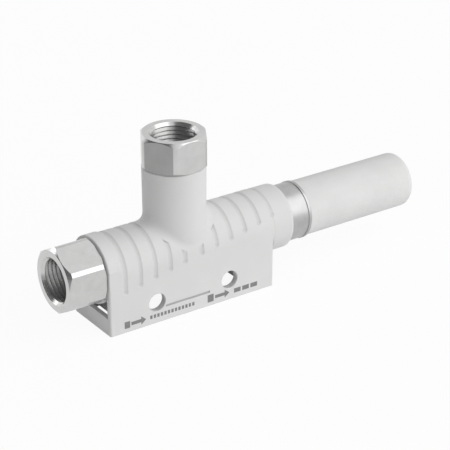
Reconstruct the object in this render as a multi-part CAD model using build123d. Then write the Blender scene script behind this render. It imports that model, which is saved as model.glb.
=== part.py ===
from build123d import *
import os
from math import asin, degrees, radians, sqrt, tan

# Vacuum ejector: a moulded tee housing on a hollow base, with a threaded air inlet at one
# end, a threaded vacuum port on top, and a metal collar with a porous silencer at the other end.
# Compressed air passes a jet nozzle and a receiver nozzle inside the barrel and draws air
# down the neck.
# Millimetres. +X runs along the barrel from the inlet to the silencer, +Z runs up the neck.
# The origin is the middle of the base's bottom plane, straight below the vacuum port.

# Housing, outside
housing_width = 14.0
base_length = 40.0
barrel_height = 12.2
barrel_overhang = 5.6
barrel_end_round = 0.8
outlet_band_drop = 0.06
base_edge_round = 0.4
neck_inset = 0.55
neck_draft = 0.15
neck_top_height = 30.5
neck_rim_round = 0.3
saddle_round = 2.0
inlet_band_length = 3.6
inlet_band_rise = 0.25
inlet_band_round = 0.2

# Round-bottomed ring grooves over the barrel
groove_inlet_count = 5
groove_outlet_count = 6
groove_inlet_margin = 3.7
groove_outlet_margin = 5.3
groove_middle_gap = 4.1
groove_width = 1.2
groove_depth = 0.2
groove_end_rise = 0.15
groove_end_slope = 0.2
groove_end_swell = 0.03
saddle_reach = 2.3
saddle_front_inset = 0.15

# Hollow base
side_wall = 1.1
end_bar_height = 3.7
end_bar_wall = 1.0
rib_wall = 1.2
side_rib_place = 15.1
side_rib_wall = 1.1
side_rib_recess = 0.8
hollow_roof_height = 8.6
middle_tube_wall = 1.0
middle_tube_length = 23.0
screw_hole_radius = 1.95
screw_hole_spacing = 17.7
screw_hole_height = 4.55
screw_hole_chamfer = 0.1
screw_pad_margin = 1.5
screw_pad_rise = 0.3
mark_line_width = 0.45
mark_line_depth = 0.2
mark_line_drop = 1.3
mark_line_length = 10.8

# Bores of the housing
barrel_wall = 2.0
neck_wall = 1.2
inlet_bore_depth = 10.0
nozzle_bore_radius = 3.6
suction_bore_radius = 4.2
suction_port_radius = 3.8
exhaust_bore_depth = 6.4
shank_end_gap = 0.4
bore_mouth_chamfer = 0.3
press_gap = 0.01
cut_margin = 1.0

# Hexagonal connectors
hexagon_flats = 13.0
hexagon_corner_radius = 7.25
hexagon_face_margin = 0.1
hexagon_chamfer_angle = 40.0
inlet_hexagon_length = 8.7
inlet_shank_length = 9.0
vacuum_hexagon_length = 7.0
vacuum_shank_length = 7.0
shank_end_chamfer = 0.3
barb_depth = 0.25
barb_pitch = 1.1
barb_count = 3
passage_wall = 0.95

# Female pipe thread of one eighth inch, at its outer diameter
thread_radius = 4.864
thread_depth = 6.2
thread_mouth_chamfer = 0.2

# Strainers and their clips
strainer_seat_radius = 3.9
strainer_seat_depth = 1.4
strainer_thickness = 0.5
strainer_hole_radius = 0.4
strainer_hole_pitch = 1.25
strainer_hole_rings = 2
strainer_first_ring_holes = 6
clip_wire_radius = 0.3
clip_groove_depth = 0.2
clip_gap_angle = 50.0

# Seals
seal_groove_depth = 1.2
seal_groove_width = 1.6
seal_groove_margin = 1.0
small_seal_groove_depth = 0.9
small_seal_groove_width = 1.2
seal_clearance = 0.02

# Jet nozzle and receiver nozzle
jet_gap = 1.6
jet_centre = -0.4
nozzle_inlet_radius = 1.9
nozzle_throat_radius = 0.5
nozzle_throat_length = 1.2
nozzle_exit_radius = 0.6
nozzle_exit_length = 1.5
nozzle_tip_wall = 0.6
nozzle_tip_length = 3.0
receiver_flange_wall = 1.6
receiver_mouth_radius = 1.8
receiver_throat_radius = 0.9
receiver_throat_length = 6.0
receiver_mouth_length = 2.0
receiver_exit_radius = 2.6
receiver_nose_wall = 0.8
receiver_nose_length = 4.6

# Exhaust collar and silencer
collar_length = 4.9
collar_radius = 6.15
collar_lip_length = 0.6
collar_lip_rise = 0.15
collar_bore_radius = 3.2
spigot_length = 4.5
silencer_length = 28.4
silencer_radius = 6.0
silencer_wall = 1.7
silencer_end_wall = 2.4
silencer_end_round = 1.5
silencer_front_round = 0.3

# Sizes that follow from the ones above
barrel_radius = housing_width / 2
base_half = base_length / 2
barrel_end = base_half + barrel_overhang
neck_radius = barrel_radius - neck_inset
neck_top_radius = neck_radius + neck_draft
inlet_bore_radius = barrel_radius - barrel_wall
exhaust_bore_radius = barrel_radius - barrel_wall
neck_bore_radius = neck_radius - neck_wall
nozzle_seat = inlet_bore_depth - base_half
receiver_seat = barrel_end - exhaust_bore_depth
nozzle_tip = jet_centre - jet_gap / 2
receiver_mouth = jet_centre + jet_gap / 2
middle_tube_radius = suction_bore_radius + middle_tube_wall
nozzle_flange_wall = inlet_bore_depth - inlet_shank_length
vacuum_bore_depth = vacuum_shank_length + shank_end_gap
collar_shank_length = exhaust_bore_depth - receiver_flange_wall
collar_end = barrel_end + collar_length
silencer_bore_radius = silencer_radius - silencer_wall
inner_side = barrel_radius - side_wall
groove_first = groove_inlet_margin - base_half
groove_last = barrel_end - groove_outlet_margin
groove_cut_radius = (groove_width**2 / 4 + groove_depth**2) / (2 * groove_depth)
groove_path_radius = barrel_radius + groove_cut_radius - groove_depth

# Local frames: Z points out of each port, and the origin is on the housing's end face
inlet_frame = Plane(origin=(-base_half, 0, barrel_height), x_dir=(0, 0, 1), z_dir=(-1, 0, 0))
exhaust_frame = Plane(origin=(barrel_end, 0, barrel_height), x_dir=(0, 0, 1), z_dir=(1, 0, 0))
vacuum_frame = Plane(origin=(0, 0, neck_top_height), x_dir=(1, 0, 0), z_dir=(0, 0, 1))
nozzle_frame = Plane(origin=(nozzle_seat, 0, barrel_height), x_dir=(0, 0, 1), z_dir=(1, 0, 0))
receiver_frame = Plane(origin=(receiver_seat, 0, barrel_height), x_dir=(0, 0, 1), z_dir=(1, 0, 0))
collar_frame = Plane(origin=(collar_end, 0, barrel_height), x_dir=(0, 0, 1), z_dir=(1, 0, 0))
over_barrel = Axis((0, 0, barrel_height), (-1, 0, 0))


def turned(corners):
    """Solid turned about the local Z axis from (radius, height) corners."""
    outline = Polyline([(radius, 0, height) for radius, height in corners], close=True)
    return revolve(make_face(outline), Axis.Z)


def along_barrel(radius, start, end):
    """Round bar on the barrel's axis between two X places."""
    frame = Plane(origin=(start, 0, barrel_height), x_dir=(0, 0, -1), z_dir=(1, 0, 0))
    return extrude(frame * Circle(radius), amount=end - start)


def block(low, high):
    """Box between two opposite corners."""
    size = [high[i] - low[i] for i in range(3)]
    centre = [(high[i] + low[i]) / 2 for i in range(3)]
    return Pos(*centre) * Box(*size)


def base():
    """Upright block whose sides run up into the round barrel."""
    plan = RectangleRounded(base_length, housing_width, base_edge_round)
    return extrude(plan, amount=barrel_height)


def row(start, end, count):
    """Evenly spaced places from start to end, both included."""
    return [start + (end - start) * i / (count - 1) for i in range(count)]


def groove(position):
    """Cutter of one groove: a ball-ended round bar bent over the barrel and down both sides."""
    rise = groove_end_rise + groove_end_slope * position
    lift = degrees(asin(max(rise, 0) / groove_path_radius))
    reach = sqrt(groove_path_radius**2 - max(rise, 0) ** 2)
    frame = Plane(origin=(position, -groove_path_radius, barrel_height), z_dir=(0, 0, -1))
    section = frame * Circle(groove_cut_radius)
    bar = revolve(section.rotate(over_barrel, lift), over_barrel, 180 - 2 * lift)
    if rise < 0:
        front_run = extrude(section, amount=-rise)
        bar += front_run + mirror(front_run, Plane.XZ)
    ball = Sphere(groove_cut_radius + groove_end_swell)
    bar += Pos(position, -reach, barrel_height + rise) * ball
    return bar + Pos(position, reach, barrel_height + rise) * ball


def grooves():
    """All grooves, kept out of the oval zone round the neck."""
    across = neck_radius + saddle_reach
    front = barrel_radius - saddle_front_inset
    saddle = extrude(Ellipse(across, front), amount=neck_top_height)
    places = row(groove_first, -groove_middle_gap / 2, groove_inlet_count)
    places += row(groove_middle_gap / 2, groove_last, groove_outlet_count)
    return [groove(place) - saddle for place in places]


def tee():
    """Base, barrel and neck before anything is cut, with the round blend under the neck."""
    barrel = along_barrel(barrel_radius, -base_half, groove_last)
    outlet_band = along_barrel(barrel_radius - outlet_band_drop, groove_last, barrel_end)
    rim = outlet_band.edges().filter_by(GeomType.CIRCLE).sort_by(Axis.X)[-1]
    barrel += fillet(rim, barrel_end_round)
    band = along_barrel(barrel_radius + inlet_band_rise, -base_half, inlet_band_length - base_half)
    band = fillet(band.edges().filter_by(GeomType.CIRCLE), inlet_band_round)
    slab = block((-base_half, -barrel_radius, 0), (base_half, barrel_radius, neck_top_height))
    neck = Pos(0, 0, barrel_height) * Cone(
        neck_radius,
        neck_top_radius,
        neck_top_height - barrel_height,
        align=(Align.CENTER, Align.CENTER, Align.MIN),
    )
    body = barrel + neck
    seam = [edge for edge in body.edges() if edge.geom_type not in (GeomType.LINE, GeomType.CIRCLE)]
    body = fillet(seam, saddle_round)
    body = fillet(body.edges().filter_by(GeomType.CIRCLE).sort_by(Axis.Z)[-1], neck_rim_round)
    return body + base() + (band & slab)


def rib(place, wall, low):
    """Cross wall inside the base, from a low edge up into the barrel."""
    return block((place - wall / 2, -inner_side, low), (place + wall / 2, inner_side, barrel_height))


def hollow():
    """Space under the barrel: open below and, above the end bars, at both ends."""
    end = base_half + cut_margin
    inside = base_half - end_bar_wall
    space = block((-inside, -inner_side, -cut_margin), (inside, inner_side, hollow_roof_height))
    space += block((-end, -inner_side, end_bar_height), (end, inner_side, hollow_roof_height))
    middle = middle_tube_length / 2
    space -= along_barrel(barrel_radius, -end, -middle)
    space -= along_barrel(middle_tube_radius, -middle, middle)
    space -= along_barrel(barrel_radius, middle, end)
    space -= rib(0, rib_wall, -cut_margin)
    space -= rib(-side_rib_place, side_rib_wall, side_rib_recess)
    space -= rib(side_rib_place, side_rib_wall, side_rib_recess)
    for x in screw_places():
        for side in (-1, 1):
            pad_face = Plane(origin=(x, side * inner_side, screw_hole_height), z_dir=(0, -side, 0))
            space -= extrude(pad_face * Circle(screw_hole_radius + screw_pad_margin), amount=screw_pad_rise)
    return space


def screw_places():
    """X places of the two mounting holes."""
    return (-screw_hole_spacing / 2, screw_hole_spacing / 2)


def screw_hole(x):
    """Cutter of one mounting hole, with a small chamfer at both faces."""
    high = barrel_radius + screw_hole_chamfer
    low = barrel_radius - screw_hole_chamfer
    wide = screw_hole_radius + 2 * screw_hole_chamfer
    frame = Plane(origin=(x, 0, screw_hole_height), x_dir=(1, 0, 0), z_dir=(0, 1, 0))
    return frame * turned(
        [
            (0, -high),
            (wide, -high),
            (screw_hole_radius, -low),
            (screw_hole_radius, low),
            (wide, high),
            (0, high),
        ]
    )


def mark_line():
    """Cutter of the fine line on the front face that starts at the first hole's side."""
    start = screw_hole_radius - screw_hole_spacing / 2
    height = screw_hole_height - mark_line_drop
    return block(
        (start, -barrel_radius - cut_margin, height - mark_line_width / 2),
        (start + mark_line_length, mark_line_depth - barrel_radius, height + mark_line_width / 2),
    )


def stepped_bore(mouth_radius, mouth_depth, inner_radius, total_depth):
    """Cutter of a two-step bore that starts at local height 0 and runs down."""
    wide = mouth_radius + bore_mouth_chamfer + cut_margin
    return turned(
        [
            (0, cut_margin),
            (wide, cut_margin),
            (mouth_radius, -bore_mouth_chamfer),
            (mouth_radius, -mouth_depth),
            (inner_radius, -mouth_depth),
            (inner_radius, -total_depth),
            (0, -total_depth),
        ]
    )


def housing():
    """One moulding: tee, grooves, hollow base, stepped bores and mounting holes."""
    body = tee() - grooves()
    chamber_depth = base_half - suction_bore_radius
    body -= hollow()
    body -= inlet_frame * stepped_bore(
        inlet_bore_radius, inlet_bore_depth, nozzle_bore_radius, chamber_depth
    )
    body -= exhaust_frame * stepped_bore(
        exhaust_bore_radius, exhaust_bore_depth, suction_bore_radius, barrel_end + suction_bore_radius
    )
    body -= vacuum_frame * stepped_bore(
        neck_bore_radius, vacuum_bore_depth, suction_port_radius, neck_top_height - barrel_height
    )
    body -= [screw_hole(x) for x in screw_places()]
    return body - mark_line()


def shank(radius, length, barbs):
    """Corners of a shank from its inner end up to local height 0, with its seal groove."""
    groove_start = seal_groove_margin - length
    groove_end = groove_start + seal_groove_width
    floor = radius - seal_groove_depth
    corners = [(0, -length), (radius - shank_end_chamfer, -length), (radius, shank_end_chamfer - length)]
    corners += [(radius, groove_start), (floor, groove_start), (floor, groove_end), (radius, groove_end)]
    for i in range(barbs, 0, -1):
        corners += [(radius, -i * barb_pitch), (radius - barb_depth, -i * barb_pitch)]
    return corners + [(radius, 0)]


def seal(bore_radius, groove_depth_here, groove_start, groove_width_here):
    """O-ring that fills the room between a bore and the floor of a groove."""
    section = groove_depth_here / 2 - seal_clearance
    middle = bore_radius - groove_depth_here / 2
    return Pos(0, 0, groove_start + groove_width_here / 2) * Torus(middle, section)


def shank_seal(bore_radius, length):
    """O-ring of a connector's or the collar's shank."""
    return seal(bore_radius, seal_groove_depth, seal_groove_margin - length, seal_groove_width)


def port_floor(top):
    """Local height of the shoulder that carries the strainer, below a port's face."""
    return top - thread_depth - strainer_seat_depth


def connector(hexagon_length, bore_radius, shank_length):
    """Hexagonal insert with a female thread; local height 0 is the housing's end face."""
    face = hexagon_flats / 2 - hexagon_face_margin
    rise = (hexagon_corner_radius - face) * tan(radians(hexagon_chamfer_angle))
    prism = RegularPolygon(hexagon_flats / 2, 6, major_radius=False)
    head = extrude(prism, amount=hexagon_length) & turned(
        [
            (0, 0),
            (face, 0),
            (hexagon_corner_radius, rise),
            (hexagon_corner_radius, hexagon_length - rise),
            (face, hexagon_length),
            (0, hexagon_length),
        ]
    )
    radius = bore_radius - press_gap
    passage = radius - seal_groove_depth - passage_wall
    corners = shank(radius, shank_length, barb_count) + [(radius, cut_margin), (0, cut_margin)]
    floor = port_floor(hexagon_length)
    clip_low = floor + strainer_thickness
    clip_high = clip_low + 2 * clip_wire_radius
    clip_wall = strainer_seat_radius + clip_groove_depth
    bore = turned(
        [
            (0, hexagon_length + cut_margin),
            (thread_radius + thread_mouth_chamfer + cut_margin, hexagon_length + cut_margin),
            (thread_radius, hexagon_length - thread_mouth_chamfer),
            (thread_radius, hexagon_length - thread_depth),
            (strainer_seat_radius, hexagon_length - thread_depth),
            (strainer_seat_radius, clip_high),
            (clip_wall, clip_high),
            (clip_wall, clip_low),
            (strainer_seat_radius, clip_low),
            (strainer_seat_radius, floor),
            (passage, floor),
            (passage, -shank_length - cut_margin),
            (0, -shank_length - cut_margin),
        ]
    )
    return head + turned(corners) - bore


def strainer(top):
    """Perforated disc that lies on the shoulder below a port's thread."""
    disc = extrude(Circle(strainer_seat_radius - press_gap), amount=strainer_thickness)
    hole = Cylinder(strainer_hole_radius, 2 * strainer_thickness)
    holes = [hole]
    for ring in range(1, strainer_hole_rings + 1):
        holes += PolarLocations(ring * strainer_hole_pitch, ring * strainer_first_ring_holes) * hole
    return Pos(0, 0, port_floor(top)) * (disc - holes)


def clip(top):
    """Open wire ring that holds the strainer down."""
    middle = strainer_seat_radius + clip_groove_depth - clip_wire_radius
    height = port_floor(top) + strainer_thickness + clip_wire_radius
    wire = Plane.XZ * Pos(middle, height) * Circle(clip_wire_radius)
    return revolve(wire, Axis.Z, 360 - clip_gap_angle)


def jet_nozzle():
    """Flanged nozzle that narrows to its throat and opens a little at its tip."""
    flange = inlet_bore_radius - press_gap
    radius = nozzle_bore_radius - press_gap
    floor = radius - small_seal_groove_depth
    groove_end = seal_groove_margin + small_seal_groove_width
    tip = nozzle_tip - nozzle_seat
    throat_end = tip - nozzle_exit_length
    return turned(
        [
            (nozzle_inlet_radius, -nozzle_flange_wall),
            (flange, -nozzle_flange_wall),
            (flange, 0),
            (radius, 0),
            (radius, seal_groove_margin),
            (floor, seal_groove_margin),
            (floor, groove_end),
            (radius, groove_end),
            (radius, tip - nozzle_tip_length),
            (nozzle_exit_radius + nozzle_tip_wall, tip),
            (nozzle_exit_radius, tip),
            (nozzle_throat_radius, throat_end),
            (nozzle_throat_radius, throat_end - nozzle_throat_length),
        ]
    )


def receiver_nozzle():
    """Flanged mixing tube with a bell mouth that opens slowly towards the exhaust."""
    flange = exhaust_bore_radius - press_gap
    radius = suction_bore_radius - press_gap
    nose = receiver_mouth_radius + receiver_nose_wall
    floor = radius - small_seal_groove_depth
    mouth = receiver_mouth - receiver_seat
    shoulder = mouth + receiver_nose_length
    groove_start = shoulder + seal_groove_margin
    groove_end = groove_start + small_seal_groove_width
    throat_start = mouth + receiver_mouth_length
    return turned(
        [
            (receiver_mouth_radius, mouth),
            (nose, mouth),
            (nose, shoulder),
            (radius, shoulder),
            (radius, groove_start),
            (floor, groove_start),
            (floor, groove_end),
            (radius, groove_end),
            (radius, 0),
            (flange, 0),
            (flange, receiver_flange_wall),
            (receiver_exit_radius, receiver_flange_wall),
            (receiver_throat_radius, throat_start + receiver_throat_length),
            (receiver_throat_radius, throat_start),
        ]
    )


def exhaust_collar():
    """Round collar with a thin lip, a sealed shank and the spigot that carries the silencer."""
    radius = exhaust_bore_radius - press_gap
    spigot = silencer_bore_radius - press_gap
    lip = collar_radius + collar_lip_rise
    corners = shank(radius, collar_shank_length, 0)
    corners += [
        (collar_radius, 0),
        (collar_radius, collar_length - collar_lip_length),
        (lip, collar_length - collar_lip_length),
        (lip, collar_length),
        (spigot, collar_length),
        (spigot, collar_length + spigot_length),
        (0, collar_length + spigot_length),
    ]
    bore = Cylinder(collar_bore_radius, 2 * (collar_shank_length + collar_length + spigot_length))
    return turned(corners) - bore


def silencer_element():
    """Porous thimble: open towards the collar, closed and rounded at its far end."""
    room = silencer_length - silencer_end_wall
    body = turned(
        [
            (0, room),
            (silencer_bore_radius, room),
            (silencer_bore_radius, 0),
            (silencer_radius, 0),
            (silencer_radius, silencer_length),
            (0, silencer_length),
        ]
    )
    rims = body.edges().filter_by(GeomType.CIRCLE).sort_by(Axis.Z)
    body = fillet(rims[-1], silencer_end_round)
    front = body.edges().filter_by(GeomType.CIRCLE).group_by(Axis.Z)[0].sort_by(SortBy.RADIUS)[-1]
    return fillet(front, silencer_front_round)


pieces = {
    "housing": housing(),
    "inlet_connector": inlet_frame
    * connector(inlet_hexagon_length, inlet_bore_radius, inlet_shank_length),
    "inlet_connector_o_ring": inlet_frame * shank_seal(inlet_bore_radius, inlet_shank_length),
    "inlet_strainer": inlet_frame * strainer(inlet_hexagon_length),
    "inlet_strainer_clip": inlet_frame * clip(inlet_hexagon_length),
    "jet_nozzle": nozzle_frame * jet_nozzle(),
    "jet_nozzle_o_ring": nozzle_frame
    * seal(nozzle_bore_radius, small_seal_groove_depth, seal_groove_margin, small_seal_groove_width),
    "receiver_nozzle": receiver_frame * receiver_nozzle(),
    "receiver_nozzle_o_ring": receiver_frame
    * seal(
        suction_bore_radius,
        small_seal_groove_depth,
        receiver_mouth - receiver_seat + receiver_nose_length + seal_groove_margin,
        small_seal_groove_width,
    ),
    "vacuum_connector": vacuum_frame
    * connector(vacuum_hexagon_length, neck_bore_radius, vacuum_shank_length),
    "vacuum_connector_o_ring": vacuum_frame * shank_seal(neck_bore_radius, vacuum_shank_length),
    "vacuum_strainer": vacuum_frame * strainer(vacuum_hexagon_length),
    "vacuum_strainer_clip": vacuum_frame * clip(vacuum_hexagon_length),
    "exhaust_collar": exhaust_frame * exhaust_collar(),
    "exhaust_collar_o_ring": exhaust_frame * shank_seal(exhaust_bore_radius, collar_shank_length),
    "silencer_element": collar_frame * silencer_element(),
}

os.makedirs("parts", exist_ok=True)
for name, piece in pieces.items():
    export_step(piece, f"parts/{name}.step")
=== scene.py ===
from math import cos, radians, sin, tau

import bpy
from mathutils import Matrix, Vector


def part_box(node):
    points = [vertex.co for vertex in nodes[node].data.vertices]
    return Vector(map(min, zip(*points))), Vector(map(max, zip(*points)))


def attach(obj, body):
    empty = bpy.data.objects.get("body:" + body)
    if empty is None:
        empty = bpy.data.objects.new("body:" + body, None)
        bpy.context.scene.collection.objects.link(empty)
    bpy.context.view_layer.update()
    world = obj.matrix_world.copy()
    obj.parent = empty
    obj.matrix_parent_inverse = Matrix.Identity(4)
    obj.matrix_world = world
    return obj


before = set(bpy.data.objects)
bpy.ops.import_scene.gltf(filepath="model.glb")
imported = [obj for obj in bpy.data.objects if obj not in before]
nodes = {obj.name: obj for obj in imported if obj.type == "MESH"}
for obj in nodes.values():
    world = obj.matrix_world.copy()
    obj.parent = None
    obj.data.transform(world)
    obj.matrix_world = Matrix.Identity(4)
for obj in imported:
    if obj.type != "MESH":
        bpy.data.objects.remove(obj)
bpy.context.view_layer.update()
MM = 0.001

# Camera: it stands on the inlet side of the front face and looks down on the part;
# its lens and sensor are in millimetres
CAMERA_AZIMUTH = radians(34.6)
CAMERA_ELEVATION = radians(25.77)
CAMERA_DISTANCE = 386.6 * MM
CAMERA_TARGET = Vector((12.52, 0, 13.315)) * MM
CAMERA_LENS = 148.2
CAMERA_NEAR = 10 * MM
CAMERA_FAR = 10.0
SENSOR_WIDTH = 36.0

# Round faces are shaded smooth, and edges over these angles stay sharp
SHARP_ANGLE = radians(24)
THREAD_SHARP_ANGLE = radians(50)

# Female pipe thread of one eighth inch; over a part of a turn at both ends, its ridge
# runs out to a small share of its height
THREAD_PITCH = 0.907 * MM
THREAD_ROOT_RADIUS = 4.874 * MM
THREAD_CREST_RADIUS = 4.44 * MM
THREAD_LENGTH = 4.9 * MM
THREAD_START = 0.2 * MM
THREAD_STEPS_PER_TURN = 72
THREAD_RUN_TURNS = 0.4
THREAD_TIP_SHARE = 0.02

# Section of the thread's ridge, with its long slope towards the mouth: each pair is
# a share of the pitch, away from the mouth, and a share of the height
THREAD_SECTION = ((0.0, 0.0), (0.40, 0.54), (0.72, 0.92), (0.84, 1.0), (0.97, 0.0))

# Ring in each port's mouth
MOUTH_RADIUS = 5.064 * MM
MOUTH_DEPTH = 0.66 * MM
MOUTH_STEPS = 144

# Print on the front face
INK_THICKNESS = 0.008 * MM
INK_MIDDLE_HEIGHT = 1.65 * MM

# Flow arrow: half its shaft's thickness as a share of its height, and the distance
# from its middle to its head as a share of its length
ARROW_SHAFT_SHARE = 1 / 5
ARROW_HEAD_SHARE = 1 / 6

# Pale floor: mirrors see it darken between these X places, on the inlet's side
FLOOR_HALF_SIZE = 3.0
FLOOR_GREY = 0.92
FLOOR_ROUGHNESS = 0.9
FLOOR_PALE_PLACE = -50 * MM
FLOOR_DARK_PLACE = -72 * MM
FLOOR_DARK_LEVEL = 0.42

# White backdrop: how much of it is seen over the lit floor and the dome
FLOOR_SHARE_TO_CAMERA = 0.93
DOME_SHARE_TO_CAMERA = 1.0
SHARE_TO_MIRRORS = 0.8
WHITE_LEVEL = 1.0
WHITE = (1, 1, 1, 1)

# Dome: its light level away from the key lamp and towards it
TOWARDS_KEY = (0.64, -0.73, 0.24)
DOME_LOW_LEVEL = 0.15
DOME_HIGH_LEVEL = 0.80

# Backdrop in mirrors: white towards the lit side and low behind the part, else dark
TOWARDS_LIT_SIDE = (0.84, -0.55, 0)
TOWARDS_LOW_BACK = (0, 0.5, -1.0)
MIRRORED_DARK_LEVEL = 0.1


def camera():
    """Camera at the photograph's viewing angle."""
    data = bpy.data.cameras.new("camera")
    data.lens = CAMERA_LENS
    data.sensor_width = SENSOR_WIDTH
    data.clip_start = CAMERA_NEAR
    data.clip_end = CAMERA_FAR
    level = cos(CAMERA_ELEVATION)
    back = Vector(
        (-sin(CAMERA_AZIMUTH) * level, -cos(CAMERA_AZIMUTH) * level, sin(CAMERA_ELEVATION))
    )
    holder = bpy.data.objects.new("camera", data)
    holder.location = CAMERA_TARGET + back * CAMERA_DISTANCE
    holder.rotation_euler = back.to_track_quat("Z", "Y").to_euler()
    bpy.context.scene.collection.objects.link(holder)
    bpy.context.scene.camera = holder


class Surface:
    """A material with a Principled shader, and short names for the nodes that it is built from."""

    NOISE_ROUGHNESS = 0.6
    TINT_LOW_PLACE = 0.3
    TINT_HIGH_PLACE = 0.7
    CREVICE_SAMPLES = 8
    EDGE_SAMPLES = 6

    def __init__(self, name, metallic=0.0, specular=0.5):
        self.material = bpy.data.materials.new(name)
        self.material.use_nodes = True
        self.tree = self.material.node_tree
        self.shader = self.tree.nodes["Principled BSDF"]
        self.shader.inputs["Metallic"].default_value = metallic
        self.shader.inputs["Specular IOR Level"].default_value = specular
        self.place = self.tree.nodes.new("ShaderNodeTexCoord").outputs["Object"]

    def join(self, output, socket):
        """Links a node's output to a socket."""
        self.tree.links.new(output, socket)

    def noise(self, stretch, detail=4.0):
        """Noise in the part's frame; stretch gives its grain per metre along X, Y and Z."""
        mapping = self.tree.nodes.new("ShaderNodeMapping")
        mapping.inputs["Scale"].default_value = stretch
        texture = self.tree.nodes.new("ShaderNodeTexNoise")
        texture.inputs["Scale"].default_value = 1.0
        texture.inputs["Detail"].default_value = detail
        texture.inputs["Roughness"].default_value = self.NOISE_ROUGHNESS
        self.join(self.place, mapping.inputs["Vector"])
        self.join(mapping.outputs["Vector"], texture.inputs["Vector"])
        return texture.outputs["Fac"]

    def grains(self, scale):
        """Distance to the nearest grain of a fine random packing, with scale grains per metre."""
        texture = self.tree.nodes.new("ShaderNodeTexVoronoi")
        texture.inputs["Scale"].default_value = scale
        self.join(self.place, texture.inputs["Vector"])
        return texture.outputs["Distance"]

    def span(self, value, low, high):
        """Maps a texture value from 0..1 to low..high."""
        node = self.tree.nodes.new("ShaderNodeMapRange")
        node.inputs["To Min"].default_value = low
        node.inputs["To Max"].default_value = high
        self.join(value, node.inputs["Value"])
        return node.outputs["Result"]

    def tint(self, value, low, high):
        """Base colour between two tints by a texture value."""
        ramp = self.tree.nodes.new("ShaderNodeValToRGB")
        first, last = ramp.color_ramp.elements
        first.position = self.TINT_LOW_PLACE
        first.color = (*low, 1)
        last.position = self.TINT_HIGH_PLACE
        last.color = (*high, 1)
        self.join(value, ramp.inputs["Fac"])
        self.join(ramp.outputs["Color"], self.shader.inputs["Base Color"])
        return ramp.outputs["Color"]

    def painted_crevice_shade(self, colour, reach, closed, shade):
        """Paints shade into the colour: darkens it to a share of it where the shape closes in on
        itself within reach, as painted shade in creases.
        """
        openness = self.tree.nodes.new("ShaderNodeAmbientOcclusion")
        openness.samples = self.CREVICE_SAMPLES
        openness.only_local = True
        openness.inputs["Distance"].default_value = reach
        level = self.tree.nodes.new("ShaderNodeMapRange")
        level.inputs["From Min"].default_value = closed
        level.inputs["To Min"].default_value = shade
        # Painted shade: the colour is scaled down by how closed in the shape is
        shaded_colour = self.tree.nodes.new("ShaderNodeVectorMath")
        shaded_colour.operation = "SCALE"
        self.join(openness.outputs["AO"], level.inputs["Value"])
        self.join(colour, shaded_colour.inputs[0])
        self.join(level.outputs["Result"], shaded_colour.inputs["Scale"])
        self.join(shaded_colour.outputs["Vector"], self.shader.inputs["Base Color"])

    def rough(self, value, low, high):
        """Roughness from low to high by a texture value."""
        self.join(self.span(value, low, high), self.shader.inputs["Roughness"])

    def relief(self, heights, edge_radius):
        """Bumps from (value, depth in metres) pairs, over edges softened by edge_radius."""
        bevel = self.tree.nodes.new("ShaderNodeBevel")
        bevel.samples = self.EDGE_SAMPLES
        bevel.inputs["Radius"].default_value = edge_radius
        normal = bevel.outputs["Normal"]
        for value, depth in heights:
            bump = self.tree.nodes.new("ShaderNodeBump")
            bump.inputs["Strength"].default_value = 1.0
            bump.inputs["Distance"].default_value = depth
            self.join(value, bump.inputs["Height"])
            self.join(normal, bump.inputs["Normal"])
            normal = bump.outputs["Normal"]
        self.join(normal, self.shader.inputs["Normal"])


def even(grain):
    """The same grain along X, Y and Z."""
    return (grain, grain, grain)


def grey(level, warmth=0.0):
    """Grey tint whose blue is lower than the rest by warmth."""
    return (level, level, level - warmth)


def housing_plastic():
    """Light grey moulded plastic with a fine matte grain, and painted shade in its creases."""
    look = Surface("housing_plastic", specular=0.4)
    cloud = look.noise(even(90), detail=2)
    colour = look.tint(cloud, low=grey(0.71, warmth=0.003), high=grey(0.74, warmth=0.003))
    # Painted shade: the colour is darkened in the grooves, holes and creases, where shade falls
    look.painted_crevice_shade(colour, reach=0.9 * MM, closed=0.84, shade=0.72)
    look.rough(look.noise(even(900)), low=0.42, high=0.58)
    grain = look.noise(even(5200), detail=3)
    flow = look.noise((260, 420, 420), detail=2)
    look.relief([(grain, 0.012 * MM), (flow, 0.02 * MM)], edge_radius=0.16 * MM)
    return look.material


def plated_nickel(name, draw_axis):
    """Bright nickel on brass, with the draw and tool lines that run along one axis."""
    look = Surface(name, metallic=1.0)
    grain_across_lines = 2600
    grain_along_lines = 60
    stretch = list(even(grain_across_lines))
    stretch[draw_axis] = grain_along_lines
    lines = look.noise(stretch, detail=3)
    cloud = look.noise(even(320))
    look.tint(cloud, low=grey(0.58, warmth=0.005), high=grey(0.64, warmth=0.005))
    look.rough(lines, low=0.16, high=0.28)
    look.relief([(lines, 0.004 * MM)], edge_radius=0.07 * MM)
    return look.material


def tapped_nickel():
    """Nickel in the tapped threads, duller than outside and with the tap's grain."""
    look = Surface("tapped_nickel", metallic=1.0)
    grain = look.noise(even(2400), detail=3)
    look.tint(grain, low=grey(0.38, warmth=0.004), high=grey(0.44, warmth=0.004))
    look.rough(grain, low=0.26, high=0.36)
    look.relief([(grain, 0.005 * MM)], edge_radius=0.05 * MM)
    return look.material


def turned_metal(look, low, high, smoothest, roughest, line_depth):
    """Metal turned about the barrel's axis, with fine rings."""
    rings = look.noise((5200, 30, 30), detail=3)
    look.tint(look.noise(even(400)), low, high)
    look.rough(rings, smoothest, roughest)
    look.relief([(rings, line_depth)], edge_radius=0.08 * MM)
    return look.material


def turned_collar():
    """Plated metal of the collar that holds the silencer."""
    return turned_metal(
        Surface("turned_collar", metallic=1.0),
        low=grey(0.43),
        high=grey(0.50),
        smoothest=0.28,
        roughest=0.44,
        line_depth=0.006 * MM,
    )


def nozzle_brass():
    """Yellow brass of both nozzles."""
    return turned_metal(
        Surface("nozzle_brass", metallic=1.0),
        low=(0.62, 0.44, 0.18),
        high=(0.74, 0.55, 0.25),
        smoothest=0.2,
        roughest=0.36,
        line_depth=0.004 * MM,
    )


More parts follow.
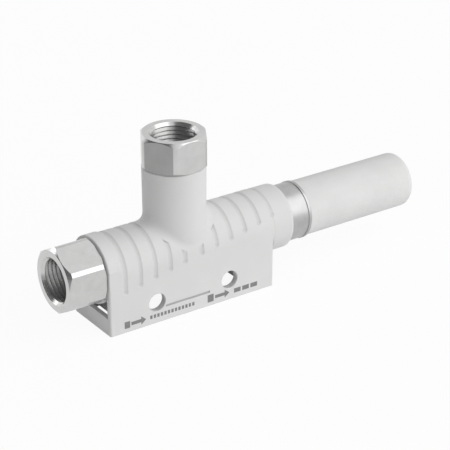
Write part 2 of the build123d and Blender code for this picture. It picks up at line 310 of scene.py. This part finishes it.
def strainer_steel():
    """Etched stainless sheet and drawn wire."""
    look = Surface("strainer_steel", metallic=1.0)
    grain = look.noise(even(2400))
    look.tint(grain, low=grey(0.46, warmth=0.01), high=grey(0.60, warmth=0.01))
    look.rough(grain, low=0.28, high=0.45)
    look.relief([(grain, 0.006 * MM)], edge_radius=0.05 * MM)
    return look.material


def seal_rubber():
    """Black nitrile rubber with a dry sheen."""
    look = Surface("seal_rubber", specular=0.35)
    grain = look.noise(even(3000))
    look.tint(grain, low=grey(0.012), high=grey(0.028))
    look.rough(grain, low=0.5, high=0.75)
    look.relief([(grain, 0.01 * MM)], edge_radius=0.05 * MM)
    return look.material


def porous_plastic():
    """White sintered plastic: packed grains with open pores between them."""
    look = Surface("porous_plastic", specular=0.25)
    grains = look.grains(scale=3400)
    cloud = look.noise(even(150), detail=3)
    pores = look.noise(even(1500))
    look.tint(cloud, low=grey(0.74, warmth=0.005), high=grey(0.79, warmth=0.005))
    look.rough(grains, low=0.8, high=0.95)
    look.relief([(grains, 0.02 * MM), (pores, 0.03 * MM)], edge_radius=0.1 * MM)
    return look.material


def marking_ink():
    """Dark grey printing ink, a little uneven."""
    look = Surface("marking_ink", specular=0.3)
    cloud = look.noise(even(2600))
    look.tint(cloud, low=grey(0.20), high=grey(0.28))
    look.rough(cloud, low=0.5, high=0.7)
    return look.material


def dress(names, material):
    """Gives CAD nodes a material in place of their plain one."""
    for name in names:
        node = nodes[name]
        node.data.materials.clear()
        node.data.materials.append(material)


def smooth(mesh, sharp_angle):
    """Shades round faces smooth and keeps the edges over an angle sharp."""
    mesh.shade_smooth()
    mesh.set_sharp_from_angle(angle=sharp_angle)


def mesh_piece(name, points, faces, material):
    """New mesh object that rides on the part."""
    mesh = bpy.data.meshes.new(name)
    mesh.from_pydata(points, [], faces)
    mesh.validate()
    mesh.materials.append(material)
    piece = bpy.data.objects.new(name, mesh)
    bpy.context.scene.collection.objects.link(piece)
    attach(piece, "root")
    return piece


def port_frame(connector, axis, direction):
    """Frame at the middle of a connector's outer face, with its Z pointing out of the port."""
    low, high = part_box(connector)
    mouth = (low + high) / 2
    mouth[axis] = high[axis] if direction > 0 else low[axis]
    out_of_mouth = Vector((0, 0, 0))
    out_of_mouth[axis] = direction
    placed = out_of_mouth.to_track_quat("Z", "Y").to_matrix().to_4x4()
    placed.translation = mouth
    return placed


def round_point(placed, radius, angle, height):
    """Point at a radius, an angle and a height about the Z axis of a port's frame."""
    return placed @ Vector((radius * cos(angle), radius * sin(angle), height))


def band(first, second, size):
    """Faces between two copies of a closed section of size points, from their first points."""
    faces = []
    for k in range(size):
        following = (k + 1) % size
        faces.append((first + k, first + following, second + following, second + k))
    return faces


def thread_ridge(name, placed, material):
    """Helical ridge of a female thread, from the wall in to the crest, run out at both ends."""
    turns = THREAD_LENGTH / THREAD_PITCH
    count = int(turns * THREAD_STEPS_PER_TURN)
    points = []
    for i in range(count + 1):
        turn = i / THREAD_STEPS_PER_TURN
        from_end = min(turn, turns - turn) / THREAD_RUN_TURNS
        share = min(1.0, max(THREAD_TIP_SHARE, from_end))
        ridge_height = share * (THREAD_ROOT_RADIUS - THREAD_CREST_RADIUS)
        depth = -THREAD_START - turn * THREAD_PITCH
        for along, rise in THREAD_SECTION:
            radius = THREAD_ROOT_RADIUS - ridge_height * rise
            points.append(round_point(placed, radius, tau * turn, depth - along * THREAD_PITCH))
    size = len(THREAD_SECTION)
    faces = []
    for i in range(count):
        faces += band(i * size, (i + 1) * size, size)
    last = count * size
    faces.append(tuple(range(size - 1, -1, -1)))
    faces.append(tuple(range(last, last + size)))
    piece = mesh_piece(name, points, faces, material)
    smooth(piece.data, THREAD_SHARP_ANGLE)


def mouth_ring(name, placed, material):
    """Ring that carries the mouth's chamfer on from the thread's root down to its first crest."""
    section = (
        (THREAD_ROOT_RADIUS, THREAD_ROOT_RADIUS - MOUTH_RADIUS),
        (THREAD_CREST_RADIUS, THREAD_CREST_RADIUS - MOUTH_RADIUS),
        (THREAD_CREST_RADIUS, -MOUTH_DEPTH),
        (THREAD_ROOT_RADIUS, -MOUTH_DEPTH),
    )
    size = len(section)
    points = []
    faces = []
    for i in range(MOUTH_STEPS):
        angle = tau * i / MOUTH_STEPS
        points += [round_point(placed, radius, angle, height) for radius, height in section]
        faces += band(i * size, (i + 1) % MOUTH_STEPS * size, size)
    piece = mesh_piece(name, points, faces, material)
    smooth(piece.data, SHARP_ANGLE)


def threaded_port(port, axis, direction, tapped):
    """Plates a connector, whose bore opens along an axis, and adds its thread and mouth ring."""
    connector = f"{port}_connector"
    plating = plated_nickel(f"nickel_{port}", draw_axis=axis)
    dress([connector], plating)
    placed = port_frame(connector, axis, direction)
    thread_ridge(f"{port}_thread", placed, tapped)
    mouth_ring(f"{port}_thread_mouth", placed, plating)


def flat_mark(outline, front):
    """Corners and faces of one printed shape: an (x, z) outline laid on the front face."""
    count = len(outline)
    near = [(x, front - INK_THICKNESS, z) for x, z in outline]
    far = [(x, front, z) for x, z in outline]
    faces = [tuple(range(count)), tuple(range(2 * count - 1, count - 1, -1))]
    for i in range(count):
        j = (i + 1) % count
        faces.append((i, i + count, j + count, j))
    return near + far, faces


def bar(x, width, height):
    """Outline of an upright bar whose middle is at x on the print line."""
    low = INK_MIDDLE_HEIGHT - height / 2
    high = INK_MIDDLE_HEIGHT + height / 2
    left = x - width / 2
    right = x + width / 2
    return [(left, low), (right, low), (right, high), (left, high)]


def bar_row(count, first, spacing, width, height):
    """Outlines of equal bars in a row."""
    return [bar(first + spacing * i, width, height) for i in range(count)]


def arrow(x, length, height):
    """Outline of a flow arrow that points towards the exhaust."""
    z = INK_MIDDLE_HEIGHT
    half = height / 2
    thin = height * ARROW_SHAFT_SHARE
    tail = x - length / 2
    neck = x + length * ARROW_HEAD_SHARE
    tip = x + length / 2
    return [
        (tail, z - thin),
        (neck, z - thin),
        (neck, z - half),
        (tip, z),
        (neck, z + half),
        (neck, z + thin),
        (tail, z + thin),
    ]


def printed_marks(material):
    """Plain generic print low on the front face: bars, flow arrows and ticks, and no lettering."""
    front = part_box("housing")[0].y
    outlines = [
        bar(x=-16.1 * MM, width=1.3 * MM, height=1.5 * MM),
        arrow(x=-13.4 * MM, length=3.5 * MM, height=1.9 * MM),
        *bar_row(13, first=-10.4 * MM, spacing=0.85 * MM, width=0.55 * MM, height=0.8 * MM),
        bar(x=4.1 * MM, width=1.5 * MM, height=1.7 * MM),
        arrow(x=7.0 * MM, length=3.6 * MM, height=1.8 * MM),
        *bar_row(3, first=10.8 * MM, spacing=2.1 * MM, width=1.7 * MM, height=1.0 * MM),
    ]
    points = []
    faces = []
    for outline in outlines:
        corners, sides = flat_mark(outline, front)
        faces += [tuple(index + len(points) for index in side) for side in sides]
        points += corners
    mesh_piece("printed_marks", points, faces, material)


def light(name, place, diameter, power):
    """Soft round lamp that faces the part; its power is in watts."""
    data = bpy.data.lights.new(name, "AREA")
    data.shape = "DISK"
    data.size = diameter
    data.energy = power
    holder = bpy.data.objects.new(name, data)
    holder.location = place
    holder.rotation_euler = (Vector(place) - CAMERA_TARGET).to_track_quat("Z", "Y").to_euler()
    bpy.context.scene.collection.objects.link(holder)


def studio():
    """Pale floor, soft lamps and a plain light surround."""
    half = FLOOR_HALF_SIZE
    mesh = bpy.data.meshes.new("floor")
    corners = [(-half, -half, 0), (half, -half, 0), (half, half, 0), (-half, half, 0)]
    mesh.from_pydata(corners, [], [(0, 1, 2, 3)])
    floor = bpy.data.objects.new("floor", mesh)
    bpy.context.scene.collection.objects.link(floor)
    mesh.materials.append(floor_material())
    light("key", place=(0.37, -0.53, 0.49), diameter=1.1, power=3.05)
    light("left", place=(-0.36, 0.53, 0.32), diameter=0.3, power=0.24)
    light("rear", place=(-0.05, 0.72, 0.16), diameter=0.9, power=0.65)
    surround()


def gradient(tree, output, along, start, end, low, high):
    """Level that goes smoothly from low to high as a place or direction passes start and end."""
    coordinate = tree.nodes.new("ShaderNodeTexCoord")
    distance = tree.nodes.new("ShaderNodeVectorMath")
    distance.operation = "DOT_PRODUCT"
    distance.inputs[1].default_value = along
    level = tree.nodes.new("ShaderNodeMapRange")
    level.interpolation_type = "SMOOTHSTEP"
    level.inputs["From Min"].default_value = start
    level.inputs["From Max"].default_value = end
    level.inputs["To Min"].default_value = low
    level.inputs["To Max"].default_value = high
    tree.links.new(coordinate.outputs[output], distance.inputs[0])
    tree.links.new(distance.outputs["Value"], level.inputs["Value"])
    return level.outputs["Result"]


def maths(tree, operation, *values):
    """Result of a maths node whose inputs are outputs of other nodes or plain numbers."""
    node = tree.nodes.new("ShaderNodeMath")
    node.operation = operation
    for socket, value in zip(node.inputs, values):
        if isinstance(value, bpy.types.NodeSocket):
            tree.links.new(value, socket)
        else:
            socket.default_value = value
    return node.outputs["Value"]


def show_backdrop(tree, lit, backdrop, share_to_camera, output):
    """Blends a backdrop over the lit shader, for the camera, gloss and glass only."""
    seen = tree.nodes.new("ShaderNodeLightPath").outputs
    mirrors = maths(tree, "MAXIMUM", seen["Is Glossy Ray"], seen["Is Transmission Ray"])
    to_mirrors = maths(tree, "MULTIPLY", mirrors, SHARE_TO_MIRRORS)
    share = maths(tree, "MULTIPLY_ADD", seen["Is Camera Ray"], share_to_camera, to_mirrors)
    blend = tree.nodes.new("ShaderNodeMixShader")
    tree.links.new(share, blend.inputs["Fac"])
    tree.links.new(lit, blend.inputs[1])
    tree.links.new(backdrop, blend.inputs[2])
    tree.links.new(blend.outputs["Shader"], tree.nodes[output].inputs["Surface"])


def backdrop_level(tree, mirrored):
    """Strength of the backdrop: 1 to the camera, which is white, and what is given to mirrors."""
    seen = tree.nodes.new("ShaderNodeLightPath").outputs
    return maths(tree, "MAXIMUM", seen["Is Camera Ray"], mirrored)


def floor_material():
    """Pale floor, near white to the camera, with a shadow; mirrors see it darken to the left."""
    material = bpy.data.materials.new("pale_floor")
    material.use_nodes = True
    tree = material.node_tree
    shader = tree.nodes["Principled BSDF"]
    shader.inputs["Base Color"].default_value = (*grey(FLOOR_GREY), 1)
    shader.inputs["Roughness"].default_value = FLOOR_ROUGHNESS
    white = tree.nodes.new("ShaderNodeEmission")
    mirrored = gradient(
        tree,
        "Object",
        along=(1, 0, 0),
        start=FLOOR_DARK_PLACE,
        end=FLOOR_PALE_PLACE,
        low=FLOOR_DARK_LEVEL,
        high=WHITE_LEVEL,
    )
    tree.links.new(backdrop_level(tree, mirrored), white.inputs["Strength"])
    lit = shader.outputs["BSDF"]
    backdrop = white.outputs["Emission"]
    show_backdrop(tree, lit, backdrop, FLOOR_SHARE_TO_CAMERA, "Material Output")
    return material


def mirrored_white(tree, along, start, end):
    """Level of the backdrop in mirrors: dark, turning white in directions towards one side."""
    return gradient(tree, "Generated", along, start, end, MIRRORED_DARK_LEVEL, WHITE_LEVEL)


def surround():
    """World: white to the camera, and elsewhere a soft dome that is brightest on the key's side."""
    world = bpy.data.worlds.new("studio")
    bpy.context.scene.world = world
    world.use_nodes = True
    tree = world.node_tree
    dome = tree.nodes["Background"]
    dome.inputs["Color"].default_value = WHITE
    dome_level = gradient(
        tree,
        "Generated",
        along=TOWARDS_KEY,
        start=-1.0,
        end=1.0,
        low=DOME_LOW_LEVEL,
        high=DOME_HIGH_LEVEL,
    )
    tree.links.new(dome_level, dome.inputs["Strength"])
    white = tree.nodes.new("ShaderNodeBackground")
    white.inputs["Color"].default_value = WHITE
    lit_side = mirrored_white(tree, TOWARDS_LIT_SIDE, start=-0.08, end=-0.01)
    low_back = mirrored_white(tree, TOWARDS_LOW_BACK, start=-0.19, end=-0.08)
    mirrored = maths(tree, "MAXIMUM", lit_side, low_back)
    tree.links.new(backdrop_level(tree, mirrored), white.inputs["Strength"])
    lit = dome.outputs["Background"]
    backdrop = white.outputs["Background"]
    show_backdrop(tree, lit, backdrop, DOME_SHARE_TO_CAMERA, "World Output")


camera()
studio()

# Materials of the solids
dress(["housing"], housing_plastic())
dress(["exhaust_collar"], turned_collar())
dress(["jet_nozzle", "receiver_nozzle"], nozzle_brass())
dress(["silencer_element"], porous_plastic())
dress([name for name in nodes if "strainer" in name], strainer_steel())
dress([name for name in nodes if name.endswith("o_ring")], seal_rubber())
for node in nodes.values():
    smooth(node.data, SHARP_ANGLE)

# Pieces that the solids don't have: threads and print
tapped = tapped_nickel()
threaded_port("inlet", axis=0, direction=-1, tapped=tapped)
threaded_port("vacuum", axis=2, direction=1, tapped=tapped)
printed_marks(marking_ink())

bpy.context.scene.view_settings.view_transform = "Standard"
